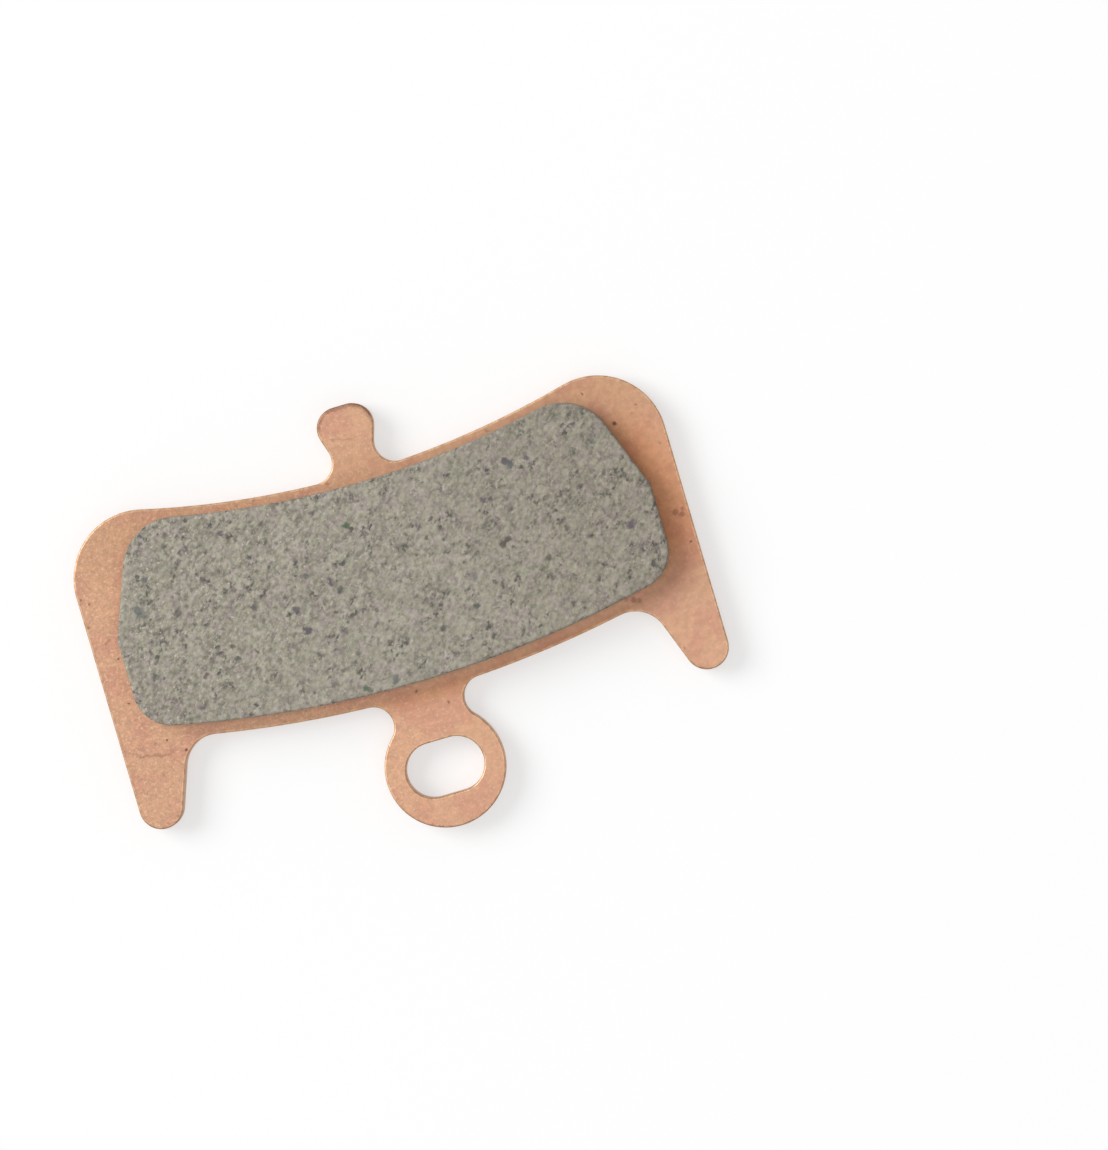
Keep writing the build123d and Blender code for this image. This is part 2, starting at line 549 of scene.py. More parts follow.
def lowerEdge(b, shape, x, inset):
    arc, lower = b["outerArc"] - inset, shape["lower"]
    if x <= lower.x * arc / (b["outerArc"] - b["lowerCorner"]):
        return rotorAxis.y - circleHeight(arc, x)
    return lower.y - circleHeight(b["lowerCorner"] - inset, x - lower.x)


def upperEdge(b, shape, x, inset):
    arc, upper, turn, ends = b["innerArc"] + inset, shape["upper"], shape["turn"], shape["ends"]
    endTop = upper + ends * (b["upperCorner"] - inset)
    endFoot = turn + ends * (b["shoulderRadius"] - inset)
    if x <= upper.x * arc / (b["innerArc"] + b["upperCorner"]):
        return rotorAxis.y - circleHeight(arc, x)
    if x <= endTop.x:
        return upper.y + circleHeight(b["upperCorner"] - inset, x - upper.x)
    if x <= endFoot.x:
        return endTop.y + (endTop.x - x) * ends.x / ends.y
    return turn.y + circleHeight(b["shoulderRadius"] - inset, x - turn.x)


def columnPlaces(b, shape):  # places along the pad as shares of the half width, closer together at the ends
    places = [0.0]
    while places[-1] < b["half"]:
        x, stride, rise = places[-1], b["step"], math.inf
        while rise > b["step"] and stride > b["step"] * b["finest"]:
            ahead = min(x + stride, b["half"])
            rise = max(abs(edge(b, shape, ahead, 0) - edge(b, shape, x, 0))
                       for edge in (lowerEdge, upperEdge))
            stride *= b["shrink"]
        places.append(ahead)
    shares = [x / b["half"] for x in places]
    return [-share for share in reversed(shares[1:])] + shares


def bridge(bm, first, second):  # quads between two closed rings
    for k in range(len(first)):
        bm.faces.new((first[k - 1], first[k], second[k], second[k - 1]))


def makeBlock(b, holes, holeRadius):
    shape = blockShape(b)
    columns = columnPlaces(b, shape)
    rows = math.ceil((b["outerArc"] - b["innerArc"]) / b["step"])
    bm = bmesh.new()
    looseLayer = bm.verts.layers.float.new("loose")  # how far the grain may move a point
    plugLayer = bm.verts.layers.float.new("plug")
    collarLayer = bm.verts.layers.float.new("collar")  # 0 in the middle of a plug, 1 at its wall

    def addPoint(x, y, z, loose, plug=0.0, collar=0.0):
        vertex = bm.verts.new((x * mm, y * mm, z * mm))
        vertex[looseLayer] = loose
        vertex[plugLayer] = plug
        vertex[collarLayer] = collar
        return vertex

    def gridPoint(column, row, inset, z, loose):
        x = columns[column] * (b["half"] - inset)
        foot, head = lowerEdge(b, shape, abs(x), inset), upperEdge(b, shape, abs(x), inset)
        return addPoint(x, foot + (head - foot) * row / rows, z, loose)

    def plugRing(hole, radius, z, loose):
        spots = [hole + radius * heading(360 * k / b["plugSectors"]) for k in range(b["plugSectors"])]
        return [addPoint(spot.x, spot.y, z, loose, 1.0, radius / holeRadius) for spot in spots]

    # friction face
    last = len(columns) - 1
    top = []
    for i in range(last + 1):
        top.append([gridPoint(i, j, b["edgeRound"], b["top"], 1.0) for j in range(rows + 1)])
    for i in range(last):
        for j in range(rows):
            bm.faces.new((top[i][j], top[i + 1][j], top[i + 1][j + 1], top[i][j + 1]))

    # rounded edge and wall, down to the bond
    rim = [(i, 0) for i in range(last)] + [(last, j) for j in range(rows)]
    rim += [(i, rows) for i in range(last, 0, -1)] + [(0, j) for j in range(rows, 0, -1)]
    ring = [top[i][j] for i, j in rim]
    section = [(inset, b["top"] - drop) for inset, drop in quarterRound(b["edgeRound"], b["edgeSteps"])[1:]]
    wallTop = section[-1][1]
    wallRows = math.ceil((wallTop - b["bond"]) / b["step"])
    section += [(0.0, wallTop + (b["bond"] - wallTop) * k / wallRows) for k in range(1, wallRows + 1)]
    for inset, z in section:
        loose = min(1.0, (z - b["bond"]) / b["calm"])
        below = [gridPoint(i, j, inset, z, loose) for i, j in rim]
        bridge(bm, ring, below)
        ring = below
    bondEdges = ringEdges(bm, ring)

    # plugs, with ends that are rounded off at the rim
    lifts = b["plugLifts"] + (0.0,) * b["plugRings"]
    for hole in holes:
        collar = plugRing(hole, holeRadius, b["bond"], 0.0)
        neck = collar
        for k in range(b["plugRings"]):
            radius = holeRadius * (1 - k / b["plugRings"])
            inner = plugRing(hole, radius, b["plugEnd"] + lifts[k], 0.0 if k == 0 else 1.0)
            bridge(bm, neck, inner)
            neck = inner
        tip = addPoint(hole.x, hole.y, b["plugEnd"], 1.0, 1.0)
        for k in range(len(neck)):
            bm.faces.new((neck[k - 1], neck[k], tip))
        bondEdges += ringEdges(bm, collar)
    bmesh.ops.triangle_fill(bm, edges=bondEdges, use_beauty=True)
    return pieceFrom(bm, "frictionBlock")


grain = {
    "Grain Size": 0.28,  # mm
    "Grain Depth": 0.026,
    "Pit Size": 0.85,
    "Pit Level": 0.645,  # of the noise, above which a pit begins
    "Pit Slope": 0.05,  # further levels to its full depth
    "Pit Depth": 0.07,
    "Tint Size": 2.2,
}


def grainTree(g, material, turn, drawnOut=1.4):
    tree = bpy.data.node_groups.new("compoundGrain", "GeometryNodeTree")
    tree.interface.new_socket("Geometry", in_out="INPUT", socket_type="NodeSocketGeometry")
    for name in g:
        tree.interface.new_socket(name, in_out="INPUT", socket_type="NodeSocketFloat")
    tree.interface.new_socket("Geometry", in_out="OUTPUT", socket_type="NodeSocketGeometry")
    given = addNode(tree, "NodeGroupInput").outputs
    place = addNode(tree, "GeometryNodeInputPosition").outputs[0]
    normal = addNode(tree, "GeometryNodeInputNormal").outputs[0]
    named = addNode(tree, "GeometryNodeInputNamedAttribute", {"Name": "loose"}, data_type="FLOAT")
    loose = named.outputs[0]

    def noiseOf(vector, size, detail, roughness=0.5):
        scale = mathNode(tree, "DIVIDE", 1 / mm, given[size])
        inputs = {"Vector": vector, "Scale": scale, "Detail": detail, "Roughness": roughness}
        return addNode(tree, "ShaderNodeTexNoise", inputs).outputs[0]

    drawn = stretched(tree, place, turn, drawnOut, 1.0)
    hollow = spread(tree, noiseOf(drawn, "Grain Size", 2.0), 0.68, 0.3)
    brink = mathNode(tree, "ADD", given["Pit Level"], given["Pit Slope"])
    pit = spread(tree, noiseOf(drawn, "Pit Size", 4.0, 0.62), given["Pit Level"], brink)
    pitTint = noiseOf(place, "Tint Size", 2.0)

    depth = times(tree, hollow, given["Grain Depth"])
    depth = mathNode(tree, "ADD", depth, times(tree, pit, given["Pit Depth"]))
    drop = times(tree, depth, loose, -mm)
    offset = addNode(tree, "ShaderNodeVectorMath", {0: normal, "Scale": drop}, operation="SCALE").outputs[0]
    shape = given["Geometry"]
    for name, value in (("pit", pit), ("pitTint", pitTint)):
        inputs = {"Geometry": shape, "Name": name, "Value": value}
        shape = addNode(tree, "GeometryNodeStoreNamedAttribute", inputs, data_type="FLOAT").outputs[0]
    shape = addNode(tree, "GeometryNodeSetPosition", {"Geometry": shape, "Offset": offset}).outputs[0]
    shape = addNode(tree, "GeometryNodeRealizeInstances", {"Geometry": shape}).outputs[0]
    shape = addNode(tree, "GeometryNodeSetMaterial", {"Geometry": shape, "Material": material}).outputs[0]
    result = addNode(tree, "NodeGroupOutput")
    tree.links.new(shape, result.inputs[0])
    return tree


def roughen(piece, g, material, turn):
    tree = grainTree(g, material, turn)
    modifier = piece.modifiers.new("grain", "NODES")
    modifier.node_group = tree
    for socket in tree.interface.items_tree:
        if socket.in_out == "INPUT" and socket.name in g:
            modifier[socket.identifier] = g[socket.name]
    depsgraph = bpy.context.evaluated_depsgraph_get()
    mesh = bpy.data.meshes.new_from_object(piece.evaluated_get(depsgraph))
    piece.modifiers.remove(modifier)
    piece.data = mesh
    mesh.name = piece.name


# copper plating

copper = {
    "front": rgb(221, 177, 146),
    "rosy": rgb(217, 168, 142),
    "back": rgb(231, 180, 150),
    "backDeep": rgb(220, 163, 131),
    "smudge": rgb(150, 112, 104),
    "edge": rgb(212, 158, 116),
    "crestHighlight": rgb(234, 192, 153),  # painted highlight on the rounded front edge
    "torn": (0.88, 0.85, 0.82, 1.0),  # the upper part of the sheared wall
    "stain": rgb(124, 78, 58),
    "speck": rgb(74, 48, 40),
    "fleck": rgb(243, 208, 173),
    "blockShade": (0.98, 0.79, 0.645, 1.0),  # painted shade of the block, beside its right end and below it
    "paintedLightLine": (1.18, 1.2, 1.22, 1.0),  # painted light close along the block's lower edge, against the block's shade there
    "innerShade": (0.92, 0.915, 0.885, 1.0),  # painted shade towards the inner edge, the tab's root and the upper right corner
    "metallic": 0.75,
    "roughness": 0.66,
    "backRoughness": 0.52,
    "roughSpread": (-0.08, 0.1),  # from grain to grain
    "rimPolish": 0.2,  # how much smoother the edges are
    "bumpStrength": 0.25,
    "bumpDepth": 0.02,  # mm
    "ragged": ((0.15, 0.3), (0.06, 0.12)),  # shift and size in mm
    "wavy": ((0.45, 1.1),),
    "patches": {"size": 2.6, "low": 0.45, "high": 0.62, "roughness": 0.5},
    "speckle": 0.15,  # mm
    "mottle": 0.5,
    "grainyEnd": 14,  # mm to either side of the middle, over which the grain sets in
    "speckleDepth": (0.35, 0.9),  # at the calm end and at the grainy end
    "mottleDepth": 0.05,
    "paintedLightLow": 0.04,  # painted light towards the eye and the right leg
    "paintedLightBelow": (8, 2),  # mm, from no change to the full one
    "paintedLightFrom": (-14, -6),
    "paintedShadeLeft": 0.04,  # painted shade towards the left end
    "paintedShadeFrom": (-12, -20),
    "flecks": {"size": 0.24, "low": 0.54, "high": 0.66, "seed": (0.2, 0.3, 0.1)},
    "fleckDepth": (0.3, 0.65),
    "backFlecks": 0.3,
    "specks": (  # cell, share, smallest and largest radius in mm, faintest, strength
        (0.6, 0.4, 0.05, 0.12, 0.1, 0.4),
        (1.3, 0.4, 0.08, 0.22, 0.1, 0.5),
    ),
    "marks": (  # x, y, size in mm, strength
        (18.39, 19.94, 0.20, 0.85),
        (16.73, 22.57, 0.11, 0.6),
        (20.19, 20.81, 0.11, 0.6),
        (21.18, 10.42, 0.12, 0.7),
        (-21.48, 18.63, 0.11, 0.6),
        (-20.08, 13.87, 0.13, 0.7),
        (-20.27, 10.64, 0.11, 0.8),
        (-18.41, 7.36, 0.12, 0.95),
        (-17.26, 6.34, 0.14, 0.95),
        (-20.95, 18.15, 0.12, 0.5),
        (-21.45, 16.57, 0.16, 0.4),
        (-0.45, 5.74, 0.14, 0.7),
        (1.50, 4.36, 0.13, 0.6),
        (20.75, 12.70, 0.30, 0.4),
        (21.10, 12.48, 0.26, 0.45),
        (21.28, 12.80, 0.22, 0.35),
        (16.15, 7.60, 0.28, 0.4),
        (16.50, 7.42, 0.22, 0.35),
    ),
    "scratches": (  # from, to, half width in mm, strength
        ((-20.6, 6.85), (-18.9, 6.35), 0.16, 0.34),
        ((-18.9, 6.38), (-18.0, 6.45), 0.16, 0.22),
        ((-17.32, 6.35), (-16.85, 6.1), 0.07, 0.45),
        ((-21.3, 7.33), (-20.7, 7.0), 0.12, 0.2),
        ((-1.25, 24.6), (0.1, 24.3), 0.06, 0.18),
        ((-20.4, 15.5), (-20.5, 15.0), 0.10, 0.35),
    ),
    "scratchCore": 0.3,  # share of the width at full strength
    "shadeBeside": {  # pairs in mm, from no tint to the full one
        "pastEnd": (5.0, -0.2),
        "aboveCorner": (-2.0, 3.0),
        "height": (22.0, 17.5),
        "leastUp": 0.12,  # what is left of the tint further up
        "along": (10, 16),
    },
    "shadeBelow": {
        "outer": (2.2, 1.0),  # below the block's lower edge
        "inner": (0.1, 0.8),
        "left": (-10, 2),
        "right": (18, 13),
        "strength": 0.5,
    },
    "lightLineBelow": {
        "outer": (0.75, 0.25),
        "inner": (-0.4, -0.1),
        "ends": (18.5, 16.5),
    },
    "innerShadeBand": {
        "inner": (61.2, 64.4),  # from the rotor's axis
        "outer": (72.0, 66.5),
    },
    "rimStrength": 0.75,
    "lineSize": 0.09,  # mm, upright lines on the wall
    "lineStretch": 14.0,
    "lineDepth": 0.25,  # how far they go from the edge's colour to the stain's
    "lineBump": 2.0,  # times the bump of the faces
    "waveSize": 0.7,  # mm, of the border between the torn and the smooth part
    "waveStretch": 30.0,
    "waveHeight": 0.8,
    "tornFrom": (1.45, 1.6),
    "crestFade": 0.02,
    "tabRim": 0.4,  # mm, edges with painted shade, partly browned on the tab
    "tabRimFrom": (-0.6, 0.5),  # above the tab's shoulders
    "lowRim": 0.22,
    "leftRim": (0.3, 0.1),  # from the left end
    "leftRimStrength": 0.4,
    "lowRimStrength": 0.6,
    "rimShading": 0.75,
    "clouds": {"size": 4.5, "detail": 3.0},
    "smudges": {"size": 2.2, "low": 0.55, "high": 0.7, "detail": 5.0,
                "strongest": 0.5, "seed": (0.1, 0.5, 0.3)},
    "swirls": {"size": 1.3, "detail": 3.0, "roughness": 0.6},
    "crazing": (0.016, 0.004),  # reach and core of a fine line, in levels of the swirls' noise
    "hairline": {"size": 0.16, "low": 0.6, "high": 0.66, "detail": 1.0},
    "hairlineStretch": 40,
    "hairlines": (  # turn in degrees, strength
        (35, 0.22),
        (-22, 0.16),
        (74, 0.14),
    ),
    "backSpecks": (  # as specks
        (0.45, 0.45, 0.05, 0.11, 0.3, 0.75),
        (1.0, 0.45, 0.10, 0.24, 0.3, 0.85),
    ),
    "speckClouds": 5.0,  # mm, where specks gather
    "eyeSpecks": 0.2,  # more of them towards the eye
    "eyeSpecksFrom": (16, 3),
}


def onTabRim(tree, flat, height, c):  # the tab's rounded top
    radius = plate["tabCornerRadius"]
    bend = plate["tabWidth"] / 2 - radius
    shoulder = plate["tabTop"] - radius
    gap = gapToLine(tree, flat, (-bend, shoulder), (bend, shoulder))
    foot, full = c["tabRimFrom"]
    return times(tree, fade(tree, gap, radius - c["tabRim"], radius),
                 fade(tree, height, shoulder + foot, shoulder + full))


def onLowRim(tree, flat, height, centre, radius, rimWidth):  # the underside of a rounded end
    gap = gapTo(tree, flat, *centre)
    rim = fade(tree, gap, radius - rimWidth, radius)
    near = fade(tree, gap, radius + 3 * rimWidth, radius + 2 * rimWidth)
    under = fade(tree, height, centre[1] - 0.2 * radius, centre[1] - 0.8 * radius)
    return times(tree, rim, near, under)


# painted shade on the rounded edges under the eye and the leg tips and along the left end, and over the
# tab's top, which is partly browned
def shadedRims(tree, flat, axes, c):
    height = addNode(tree, "ShaderNodeSeparateXYZ", {0: flat}).outputs["Y"]
    tip = legTip(plate)
    ends = [((0, 0), plate["eyeRadius"])]
    ends += [((side * tip.x, tip.y), plate["legTipRadius"]) for side in (-1, 1)]
    rims = [onLowRim(tree, flat, height, centre, radius, c["lowRim"]) for centre, radius in ends]
    fromLeft = mathNode(tree, "ADD", axes["X"], plate["half"] * mm)
    rims.append(fade(tree, fromLeft, *c["leftRim"], 0.0, c["leftRimStrength"]))
    low = times(tree, highest(tree, *rims), c["lowRimStrength"])
    return highest(tree, onTabRim(tree, flat, height, c), low)


def shadeBesideBlock(tree, axes, h):  # painted shade of the block on the strip of plate beside its right end, which leans inward
    shoulder = rotorAxis.y - block["outerArc"] + block["shoulderRise"]
    corner = rotorAxis.y - circleHeight(block["outerArc"], block["half"])
    past = highest(tree, mathNode(tree, "SUBTRACT", axes["Y"], shoulder * mm), 0.0)
    lean = math.tan(math.radians(block["endLean"]))
    reach = mathNode(tree, "ADD", axes["X"], times(tree, past, lean))
    pastEnd = mathNode(tree, "SUBTRACT", reach, block["half"] * mm)
    aboveCorner = mathNode(tree, "SUBTRACT", axes["Y"], corner * mm)
    return times(tree, fade(tree, pastEnd, *h["pastEnd"]),
                 fade(tree, aboveCorner, *h["aboveCorner"]),
                 fade(tree, axes["X"], *h["along"]),
                 fade(tree, axes["Y"], *h["height"], h["leastUp"], 1.0))


def shadeBelowBlock(tree, axes, below, h):  # painted shade of the block on the strip of plate below it
    return times(tree, fade(tree, below, *h["outer"]),
                 fade(tree, below, *h["inner"]),
                 fade(tree, axes["X"], *h["left"], 0.0, h["strength"]),
                 fade(tree, axes["X"], *h["right"]))


def paintedLightLine(tree, axes, below, h):  # painted light: a narrow brighter line along the block's lower edge, against the block's shade
    aside = mathNode(tree, "ABSOLUTE", axes["X"])
    return times(tree, fade(tree, below, *h["outer"]),
                 fade(tree, below, *h["inner"]),
                 fade(tree, aside, *h["ends"]))


def wornBack(tree, place, axes, uneven, c):  # tone of the back: smudges, crazing, hairlines and specks
    cloud = noiseNode(tree, shifted(tree, place, (0.4, 0.0, 0.2)), **c["clouds"])
    tone = mixColour(tree, spread(tree, cloud, 0.4, 0.62), c["back"], c["backDeep"])
    tone = mixColour(tree, blotches(tree, place, **c["smudges"]), tone, c["smudge"])

    swirl = noiseNode(tree, uneven, **c["swirls"])
    ridge = mathNode(tree, "ABSOLUTE", mathNode(tree, "SUBTRACT", swirl, 0.5))
    crazing = times(tree, spread(tree, ridge, *c["crazing"]), spread(tree, cloud, 0.45, 0.6, 0.0, 0.5))
    tone = mixColour(tree, crazing, tone, c["stain"])
    for turn, strength in c["hairlines"]:
        apart = shifted(tree, place, (0.01 * turn, 0.2, 0.0))
        lines = stretched(tree, apart, turn, c["hairlineStretch"], 1.0)
        tone = mixColour(tree, blotches(tree, lines, strongest=strength, **c["hairline"]), tone, c["stain"])

    gather = noiseNode(tree, shifted(tree, place, (0.3, 0.2, 0.6)), c["speckClouds"])
    gather = mathNode(tree, "ADD", gather, fade(tree, axes["Y"], *c["eyeSpecksFrom"], 0.0, c["eyeSpecks"]))
    apart = shifted(tree, uneven, (0.7, 0.1, 0.0))
    for *field, strength in c["backSpecks"]:
        speck = speckField(tree, apart, *field)[0]
        speck = times(tree, speck, spread(tree, gather, 0.4, 0.58, 0.08, strength))
        tone = mixColour(tree, speck, tone, c["speck"])
    return tone


def copperPlating(c):
    material, tree, shader = newMaterial("copperPlating")
    place, axes = objectPlace(tree)
    uneven = ragged(tree, place, c["ragged"])
    flat = flattened(tree, uneven)
    radius = gapTo(tree, flattened(tree, place), *rotorAxis)
    rim = attribute(tree, "rim")
    backHalf = (0.6 * plate["thickness"], 0.4 * plate["thickness"])
    onBack = fade(tree, axes["Z"], *backHalf)
    onFront = mathNode(tree, "SUBTRACT", 1.0, onBack)

    # patches and fine grain, stronger towards the left end
    tone = mixColour(tree, blotches(tree, place, **c["patches"]), c["front"], c["rosy"])
    tone = mixColour(tree, onBack, tone, wornBack(tree, place, axes, uneven, c))
    grainy = fade(tree, axes["X"], c["grainyEnd"], -c["grainyEnd"])
    speckle = noiseNode(tree, place, c["speckle"], roughness=0.6)
    mottle = noiseNode(tree, place, c["mottle"])
    level = times(tree, mathNode(tree, "SUBTRACT", speckle, 0.5),
                  spread(tree, grainy, 0.0, 1.0, *c["speckleDepth"]))
    mottled = spread(tree, mottle, 0.35, 0.65, 1 - c["mottleDepth"], 1 + c["mottleDepth"])
    level = mathNode(tree, "ADD", level, mottled)
    # painted light towards the eye and the right leg, painted shade towards the left end
    paintedLightLow = times(tree, fade(tree, axes["Y"], *c["paintedLightBelow"], 0.0, c["paintedLightLow"]),
                  fade(tree, axes["X"], *c["paintedLightFrom"]))
    level = mathNode(tree, "ADD", level, paintedLightLow)
    level = mathNode(tree, "SUBTRACT", level, fade(tree, axes["X"], *c["paintedShadeFrom"], 0.0, c["paintedShadeLeft"]))
    tone = mixColour(tree, 1.0, tone, level, "MULTIPLY")

    # bright flecks and small brown specks in the plating
    fleck = times(tree, blotches(tree, place, **c["flecks"]),
                  spread(tree, grainy, 0.0, 1.0, *c["fleckDepth"]),
                  spread(tree, onBack, 0.0, 1.0, 1.0, c["backFlecks"]))
    tone = mixColour(tree, fleck, tone, c["fleck"])
    for *field, strength in c["specks"]:
        speck = speckField(tree, uneven, *field)[0]
        tone = mixColour(tree, times(tree, speck, strength), tone, c["stain"])

    # single marks and scratches on the front
    marks = [markAt(tree, flat, *mark) for mark in c["marks"]]
    wavy = flattened(tree, ragged(tree, uneven, c["wavy"]))
    for start, end, width, strength in c["scratches"]:
        gap = gapToLine(tree, wavy, start, end)
        marks.append(fade(tree, gap, width, width * c["scratchCore"], 0.0, strength))
    tone = mixColour(tree, times(tree, highest(tree, *marks), onFront), tone, c["stain"])

    # painted shade and light on the front near the block, and painted shade along the inner edge
    below = mathNode(tree, "SUBTRACT", radius, block["outerArc"] * mm)
    # painted shade of the block, beside its right end and below it
    blockShade = highest(tree, shadeBesideBlock(tree, axes, c["shadeBeside"]),
                   shadeBelowBlock(tree, axes, below, c["shadeBelow"]))
    # painted light along the block's lower edge
    lightLine = paintedLightLine(tree, axes, below, c["lightLineBelow"])
    # painted shade along the inner edge, up the tab's root and into the upper right corner
    innerShadeBand = times(tree, fade(tree, radius, *c["innerShadeBand"]["inner"]),
                      fade(tree, radius, *c["innerShadeBand"]["outer"]))
    for mask, tint in ((blockShade, c["blockShade"]), (lightLine, c["paintedLightLine"]), (innerShadeBand, c["innerShade"])):
        tone = mixColour(tree, times(tree, mask, onFront), tone, tint, "MULTIPLY")

    # sheared wall: drawn smooth below, torn above, with upright lines
    along = addNode(tree, "ShaderNodeUVMap", uv_map="wallMap").outputs[0]
    lines = noiseNode(tree, stretched(tree, along, 0, 1.0, c["lineStretch"]), c["lineSize"])
    wave = noiseNode(tree, stretched(tree, along, 0, 1.0, c["waveStretch"]), c["waveSize"], detail=3.0)
    border = mathNode(tree, "ADD", axes["Z"], times(tree, wave, c["waveHeight"] * mm))
    lineTone = between(c["edge"], c["stain"], c["lineDepth"])
    wall = mixColour(tree, spread(tree, lines, 0.3, 0.7), lineTone, c["edge"])
    wall = mixColour(tree, fade(tree, border, *c["tornFrom"]), wall, c["torn"], "MULTIPLY")
    # painted highlight along the rounded front edge
    crestFoot = plate["thickness"] - plate["frontRound"]
    crestHighlight = times(tree, fade(tree, axes["Z"], crestFoot - c["crestFade"], crestFoot),
                  spread(tree, mottle, 0.4, 0.58, 0.4, 1.0))
    wall = mixColour(tree, crestHighlight, wall, c["crestHighlight"])
    tone = mixColour(tree, times(tree, rim, c["rimStrength"]), tone, wall)
    # painted shade along the rims, in the stain's colour
    rimShade = times(tree, shadedRims(tree, flat, axes, c), onFront, c["rimShading"])
    tone = mixColour(tree, rimShade, tone, c["stain"])

    tree.links.new(tone, shader.inputs["Base Color"])
    shader.inputs["Metallic"].default_value = c["metallic"]
    matt = fade(tree, axes["Z"], *reversed(backHalf), c["backRoughness"], c["roughness"])
    rough = mathNode(tree, "ADD", matt, spread(tree, speckle, 0.2, 0.8, *c["roughSpread"]))
    rough = mathNode(tree, "SUBTRACT", rough, times(tree, rim, c["rimPolish"]))
    tree.links.new(rough, shader.inputs["Roughness"])
    height = mathNode(tree, "ADD", speckle, times(tree, lines, rim, c["lineBump"]))
    addBump(tree, shader, height, c)
    return material


# friction compound

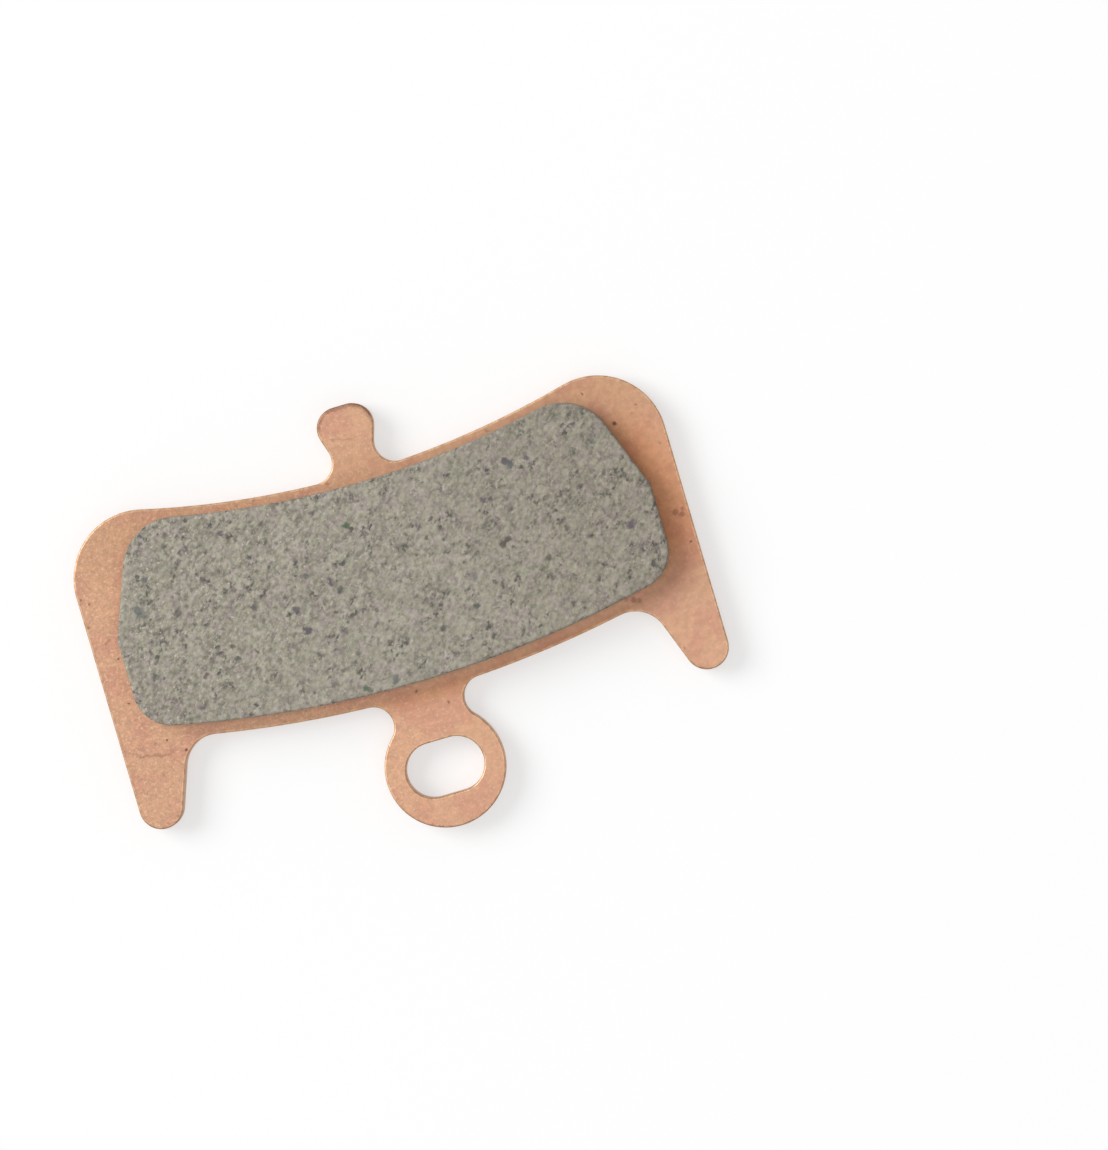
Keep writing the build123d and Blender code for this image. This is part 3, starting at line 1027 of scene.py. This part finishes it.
purpleSpeck = rgb(92, 84, 94)
blueSpeck = rgb(98, 103, 104)
greenSpeck = rgb(70, 98, 70)
brownSpeck = rgb(90, 83, 75)
compound = {
    "grainTones": (
        (0.32, rgb(130, 124, 112)),
        (0.5, rgb(161, 154, 140)),
        (0.68, rgb(182, 175, 160)),
    ),
    "grainTints": (
        (0.38, (0.99, 0.96, 1.03, 1.0)),
        (0.47, (1.0, 1.0, 1.0, 1.0)),
        (0.54, (1.0, 1.0, 0.97, 1.0)),
        (0.64, (0.96, 1.0, 0.965, 1.0)),
    ),
    "dark": rgb(80, 78, 76),
    "glint": rgb(204, 197, 183),
    "rightShade": (0.89, 0.88, 0.87, 1.0),  # painted shade, slightly darker towards the right end
    "rightShadeFrom": (0, 18),  # mm
    # dark tone of the plugs' ends, partly oxide and partly painted shade of their recess
    "plugEnd": rgb(102, 91, 77),
    "plugDark": rgb(46, 41, 36),
    "crumbDepth": 0.45,  # how far the plug's crumbs go from one to the other
    "roughness": 0.85,
    "bumpStrength": 0.22,
    "bumpDepth": 0.08,  # mm
    "slant": 0.8,  # the grain stands out more to the upper left: what up counts beside left
    "coarseFrom": (4, 32),  # mm that way
    "coarseContrast": (0.85, 1.1),
    "gatherContrast": (0.85, 1.15),
    "drawn": 1.2,  # length of the grains to their width
    "fineGrain": {"size": 0.17, "roughness": 0.55},
    "mediumGrain": {"size": 0.34},
    "fineShare": 0.3,
    "broadGrain": {"size": 1.4, "low": 0.3, "high": 0.7, "roughness": 0.5,
                   "weakest": 0.46, "strongest": 0.54, "seed": (0.2, 0.4, 0.1)},
    "gathering": {"size": 1.3, "low": 0.4, "high": 0.6, "detail": 2.0, "roughness": 0.5,
                  "weakest": 0.2, "seed": (0.3, 0.1, 0.2)},
    "glints": {"size": 0.24, "low": 0.59, "high": 0.68, "seed": (0.3, 0.1, 0.2)},
    "glintDepth": (0.5, 0.9),  # at the calm end and where the grain stands out
    "darkGrains": {"size": 0.42, "low": 0.515, "high": 0.71, "detail": 2.0, "strongest": 0.88},
    "ragged": ((0.22, 0.35), (0.09, 0.14)),  # shift and size in mm
    "raggedHue": ((0.15, 0.3),),
    "raggedMarks": ((0.3, 0.5), (0.12, 0.18)),
    "hueSize": 0.6,
    "specks": (  # cell, share of cells with a speck, smallest and largest radius in mm, faintest, strength
        (0.55, 0.5, 0.10, 0.24, 0.1, 0.85),
        (1.0, 0.35, 0.18, 0.36, 0.2, 0.85),
    ),
    "speckTints": (
        (0.0, rgb(98, 92, 84)),
        (0.3, rgb(98, 91, 96)),
        (0.5, rgb(94, 95, 94)),
        (0.65, rgb(90, 84, 76)),
        (0.8, rgb(88, 82, 87)),
        (0.92, rgb(84, 90, 82)),
    ),
    "pitTints": (
        (0.3, rgb(88, 82, 88)),
        (0.46, rgb(92, 93, 99)),
        (0.58, rgb(86, 94, 86)),
        (0.7, rgb(104, 98, 92)),
    ),
    "pitStrength": 0.5,
    "crackSize": 0.75,  # mm between the cracks in the plugs' ends
    "crackWidth": (0.07, 0.015),  # edge and core, in cells
    "crackDepth": 0.75,
    "marks": (  # x, y, size in mm, strength, tint
        (-17.55, 16.75, 0.42, 0.75, blueSpeck),
        (-17.45, 16.35, 0.34, 0.65, blueSpeck),
        (-6.85, 13.61, 0.38, 0.8, purpleSpeck),
        (-6.44, 11.97, 0.36, 0.8, purpleSpeck),
        (-3.93, 15.02, 0.24, 0.8, purpleSpeck),
        (-3.96, 14.72, 0.26, 0.8, purpleSpeck),
        (-5.55, 15.76, 0.34, 0.75, rgb(84, 92, 84)),
        (-9.62, 14.60, 0.30, 0.7, purpleSpeck),
        (-1.78, 18.36, 0.42, 0.85, greenSpeck),
        (10.22, 19.60, 0.38, 0.85, purpleSpeck),
        (10.50, 19.32, 0.36, 0.85, blueSpeck),
        (11.72, 19.35, 0.34, 0.75, purpleSpeck),
        (8.05, 17.35, 0.34, 0.8, purpleSpeck),
        (8.52, 14.05, 0.38, 0.85, brownSpeck),
        (8.88, 14.28, 0.32, 0.85, brownSpeck),
        (5.88, 12.41, 0.44, 0.5, blueSpeck),
        (11.29, 12.11, 0.34, 0.75, brownSpeck),
        (13.10, 13.85, 0.28, 0.75, brownSpeck),
        (17.50, 12.75, 0.42, 0.85, purpleSpeck),
        (-1.15, 9.61, 0.30, 0.75, brownSpeck),
        (-4.26, 12.68, 0.26, 0.7, brownSpeck),
        (-10.44, 20.30, 0.28, 0.7, purpleSpeck),
        (-11.84, 12.44, 0.28, 0.75, brownSpeck),
        (-14.30, 11.04, 0.28, 0.75, brownSpeck),
        (-16.49, 18.64, 0.30, 0.7, blueSpeck),
        (-3.68, 6.96, 0.36, 0.8, greenSpeck),
        (-1.48, 6.96, 0.36, 0.75, blueSpeck),
        (-0.41, 7.10, 0.26, 0.6, purpleSpeck),
    ),
}


def plugTone(tree, medium, uneven, c):  # ends of the plugs: dark, cracked, and darker still along the rim, where painted shade stands for the hole's wall
    crumbs = between(c["plugEnd"], c["plugDark"], c["crumbDepth"])
    tone = mixColour(tree, spread(tree, medium, 0.38, 0.62), crumbs, c["plugEnd"])
    inputs = {"Vector": uneven, "Scale": 1 / (c["crackSize"] * mm)}
    cells = addNode(tree, "ShaderNodeTexVoronoi", inputs, feature="DISTANCE_TO_EDGE").outputs
    cracks = spread(tree, cells["Distance"], *c["crackWidth"], 0.0, c["crackDepth"])
    cracksAndRimShade = highest(tree, cracks, spread(tree, attribute(tree, "collar"), 0.8, 1.0))
    return mixColour(tree, cracksAndRimShade, tone, c["plugDark"])


def frictionCompound(c, turn):
    material, tree, shader = newMaterial("frictionCompound")
    place, axes = objectPlace(tree)
    slant = mathNode(tree, "SUBTRACT", times(tree, axes["Y"], c["slant"]), axes["X"])
    coarse = fade(tree, slant, *c["coarseFrom"])
    drawn = stretched(tree, place, turn, c["drawn"], 1.0)
    uneven = ragged(tree, drawn, c["ragged"])

    # grain of three sizes, which stands out more where dark grains gather
    fine = noiseNode(tree, drawn, **c["fineGrain"])
    medium = noiseNode(tree, drawn, **c["mediumGrain"])
    level = mathNode(tree, "ADD", times(tree, fine, c["fineShare"]),
                     times(tree, medium, 1 - c["fineShare"]))
    gather = blotches(tree, drawn, **c["gathering"])
    contrast = times(tree, spread(tree, coarse, 0.0, 1.0, *c["coarseContrast"]),
                     spread(tree, gather, 0.15, 1.0, *c["gatherContrast"]))
    level = times(tree, mathNode(tree, "SUBTRACT", level, 0.5), contrast)
    level = mathNode(tree, "ADD", level, blotches(tree, place, **c["broadGrain"]))
    tone = colourRamp(tree, level, c["grainTones"])

    # pale and dark grains, then single specks of several tints
    glint = times(tree, blotches(tree, drawn, **c["glints"]),
                  spread(tree, coarse, 0.0, 1.0, *c["glintDepth"]))
    tone = mixColour(tree, glint, tone, c["glint"])
    dark = times(tree, blotches(tree, drawn, **c["darkGrains"]), gather)
    tone = mixColour(tree, dark, tone, c["dark"])
    for *field, strength in c["specks"]:
        spot, dice = speckField(tree, uneven, *field)
        tint = colourRamp(tree, dice, c["speckTints"], "CONSTANT")
        tone = mixColour(tree, times(tree, spot, strength), tone, tint)

    # faint tints that change from grain to grain
    hue = noiseNode(tree, ragged(tree, place, c["raggedHue"]), c["hueSize"])
    tone = mixColour(tree, 1.0, tone, colourRamp(tree, hue, c["grainTints"]), "MULTIPLY")
    # painted shade towards the right end
    tone = mixColour(tree, fade(tree, axes["X"], *c["rightShadeFrom"]), tone, c["rightShade"], "MULTIPLY")

    # larger specks that show one by one, pits and the ends of the plugs
    flat = flattened(tree, ragged(tree, place, c["raggedMarks"]))
    for *mark, tint in c["marks"]:
        tone = mixColour(tree, markAt(tree, flat, *mark), tone, tint)
    pitTone = colourRamp(tree, attribute(tree, "pitTint"), c["pitTints"])
    tone = mixColour(tree, times(tree, attribute(tree, "pit"), c["pitStrength"]), tone, pitTone)
    tone = mixColour(tree, attribute(tree, "plug"), tone, plugTone(tree, medium, uneven, c))

    tree.links.new(tone, shader.inputs["Base Color"])
    shader.inputs["Roughness"].default_value = c["roughness"]
    addBump(tree, shader, fine, c)
    return material


# the two pieces

holes = holePlaces(plate, block["innerArc"], block["outerArc"])
backingPlate = makePlate(plate, holes, copperPlating(copper))
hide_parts("backing_plate")
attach(backingPlate, "root")
print("backing plate:", len(backingPlate.data.polygons), "faces")

frictionBlock = makeBlock(block, holes, plate["holeRadius"])
roughen(frictionBlock, grain, frictionCompound(compound, block["grainTurn"]), block["grainTurn"])
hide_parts("friction_block")
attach(frictionBlock, "root")
print("friction block:", len(frictionBlock.data.polygons), "faces")
